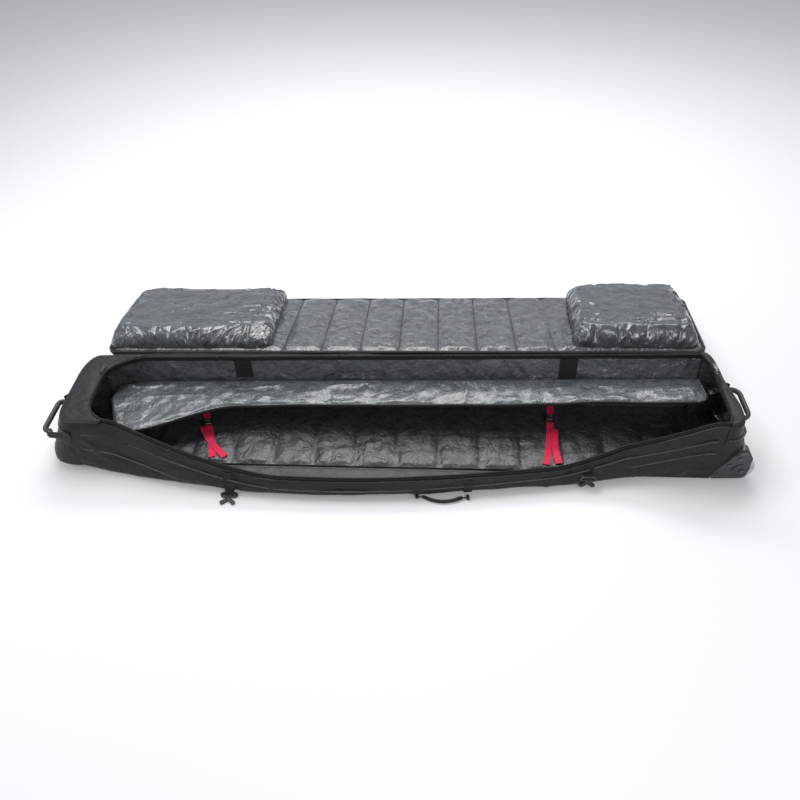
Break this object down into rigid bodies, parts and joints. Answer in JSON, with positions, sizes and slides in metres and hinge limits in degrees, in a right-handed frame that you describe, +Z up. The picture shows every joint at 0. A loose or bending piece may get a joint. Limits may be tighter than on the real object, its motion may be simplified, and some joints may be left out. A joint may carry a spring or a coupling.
{
  "type": "ski bag",
  "caption": "Long wheeled ski bag lying open: soft tray with stiff ends, hinged padded lid with pockets, inner flap, strap hooks and grab handles.",
  "frame": {"origin": "on the floor under the middle of the base, on the underside of the middle skid rail", "axes": "+X along the bag towards the wheels, +Y towards the lid hinge, +Z up"},
  "size_m": [1.9496, 0.8795, 0.2374],
  "materials": {
    "ripstop": "charcoal ripstop, dull",
    "lining": "coated lining, crinkled and shiny",
    "lining_dark": "coated lining, dark, crinkled",
    "floor_quilt": "quilted lining with sewn channels",
    "webbing": "woven webbing",
    "pink_webbing": "woven webbing, bright",
    "tape": "zip tape and binding",
    "coil": "moulded coil",
    "foam": "closed-cell foam",
    "board": "stiff board",
    "rail": "moulded skid rail",
    "tarpaulin": "coated tarpaulin",
    "guard": "moulded, fine grain",
    "tyre": "cast polyurethane, translucent",
    "hub": "moulded",
    "bearing": "ground steel",
    "steel": "zinc plated",
    "grip": "moulded, ribbed",
    "buckle": "moulded acetal",
    "slider": "black lacquer"
  },
  "bodies": {
    "bag": {"bottom_panel": "tarpaulin", "base_board": "board", "skid_rails": "rail", "floor_lining": "floor_quilt", "front_wall": "ripstop", "back_wall": "ripstop", "left_end": "ripstop", "right_end": "ripstop", "left_yoke": "ripstop", "right_yoke": "ripstop", "front_lining": "lining", "back_lining": "lining_dark", "left_end_lining": "lining_dark", "right_end_lining": "lining_dark", "body_zip_tape": "tape", "body_zip_teeth": "coil", "back_webbing": "webbing", "wheel_guard_front": "guard", "wheel_guard_rear": "guard", "axle_front": "steel", "axle_rear": "steel", "guard_screws": "steel", "left_handle_anchors": "webbing", "right_handle_anchors": "webbing", "side_handle_anchors": "webbing", "hook_webbing_left": "webbing", "hook_webbing_right": "webbing", "ski_strap_left": "pink_webbing", "ski_strap_right": "pink_webbing", "strap_buckles": "buckle", "hinge_gusset": "tape"},
    "front_wheel": {"tyre_front": "tyre", "wheel_hub_front": "hub", "bearings_front": "bearing"},
    "rear_wheel": {"tyre_rear": "tyre", "wheel_hub_rear": "hub", "bearings_rear": "bearing"},
    "left_handle": {"left_grip": "grip"},
    "right_handle": {"right_grip": "grip"},
    "carry_handle": {"side_handle": "webbing"},
    "left_hook": {"hook_left": "buckle"},
    "right_hook": {"hook_right": "buckle"},
    "flap": {"flap_foam": "foam", "flap_cover": "lining", "flap_binding": "tape"},
    "lid": {"lid_cover": "ripstop", "lid_foam": "foam", "lid_lining": "lining", "lid_binding": "tape", "lid_zip_tape": "tape", "lid_zip_teeth": "coil", "lid_pocket_left": "lining", "lid_pocket_right": "lining", "lid_straps": "webbing", "strap_loops": "buckle"},
    "left_slider": {"zip_slider_left": "slider"},
    "right_slider": {"zip_slider_right": "slider"},
    "left_pull": {"zip_pull_left": "slider"},
    "right_pull": {"zip_pull_right": "slider"}
  },
  "joints": [
    {"name": "lid_hinge", "type": "hinge", "parent": "bag", "child": "lid", "pos_m": [0, 0.188, 0.177], "axis": [0.9998, 0, 0.0195], "range_deg": [0, 193], "deforming": ["lid_pocket_left", "lid_pocket_right"]},
    {"name": "flap_hinge", "type": "hinge", "parent": "bag", "child": "flap", "pos_m": [0, 0.132, 0.099], "axis": [0.9997, 0.006, 0.024], "range_deg": [-48, 0]},
    {"name": "front_wheel_spin", "type": "hinge", "parent": "bag", "child": "front_wheel", "pos_m": [0.935, -0.122, 0.0375], "axis": [0, 1, 0], "continuous": true},
    {"name": "rear_wheel_spin", "type": "hinge", "parent": "bag", "child": "rear_wheel", "pos_m": [0.935, 0.122, 0.0375], "axis": [0, 1, 0], "continuous": true},
    {"name": "left_handle_swing", "type": "hinge", "parent": "bag", "child": "left_handle", "pos_m": [-0.95117, -0.06435, 0.12], "axis": [0, -1, 0], "range_deg": [-100, 60]},
    {"name": "right_handle_swing", "type": "hinge", "parent": "bag", "child": "right_handle", "pos_m": [0.93839, 0.0312, 0.125], "axis": [0, 1, 0], "range_deg": [-100, 60]},
    {"name": "carry_handle_swing", "type": "hinge", "parent": "bag", "child": "carry_handle", "pos_m": [0.12773, -0.22998, 0.005], "axis": [-1, 0, 0], "range_deg": [0, 80]},
    {"name": "left_hook_swing", "type": "hinge", "parent": "bag", "child": "left_hook", "pos_m": [-0.45045, -0.23793, 0.0035], "axis": [-1, 0, 0], "range_deg": [0, 65]},
    {"name": "right_hook_swing", "type": "hinge", "parent": "bag", "child": "right_hook", "pos_m": [0.51967, -0.18004, 0.036], "axis": [-1, 0, 0], "range_deg": [0, 28]},
    {"name": "left_slider_slide", "type": "slide", "parent": "bag", "child": "left_slider", "axis": [0, 1, 0], "range_m": [-0.09, 0.02]},
    {"name": "right_slider_slide", "type": "slide", "parent": "bag", "child": "right_slider", "axis": [0, 1, 0], "range_m": [-0.09, 0.02]},
    {"name": "left_pull_swing", "type": "hinge", "parent": "left_slider", "child": "left_pull", "pos_m": [-0.85803, 0.07, 0.17067], "axis": [-1, 0, 0], "range_deg": [-150, 0]},
    {"name": "right_pull_swing", "type": "hinge", "parent": "right_slider", "child": "right_pull", "pos_m": [0.88338, 0.075, 0.20463], "axis": [-1, 0, 0], "range_deg": [-150, 0]}
  ]
}
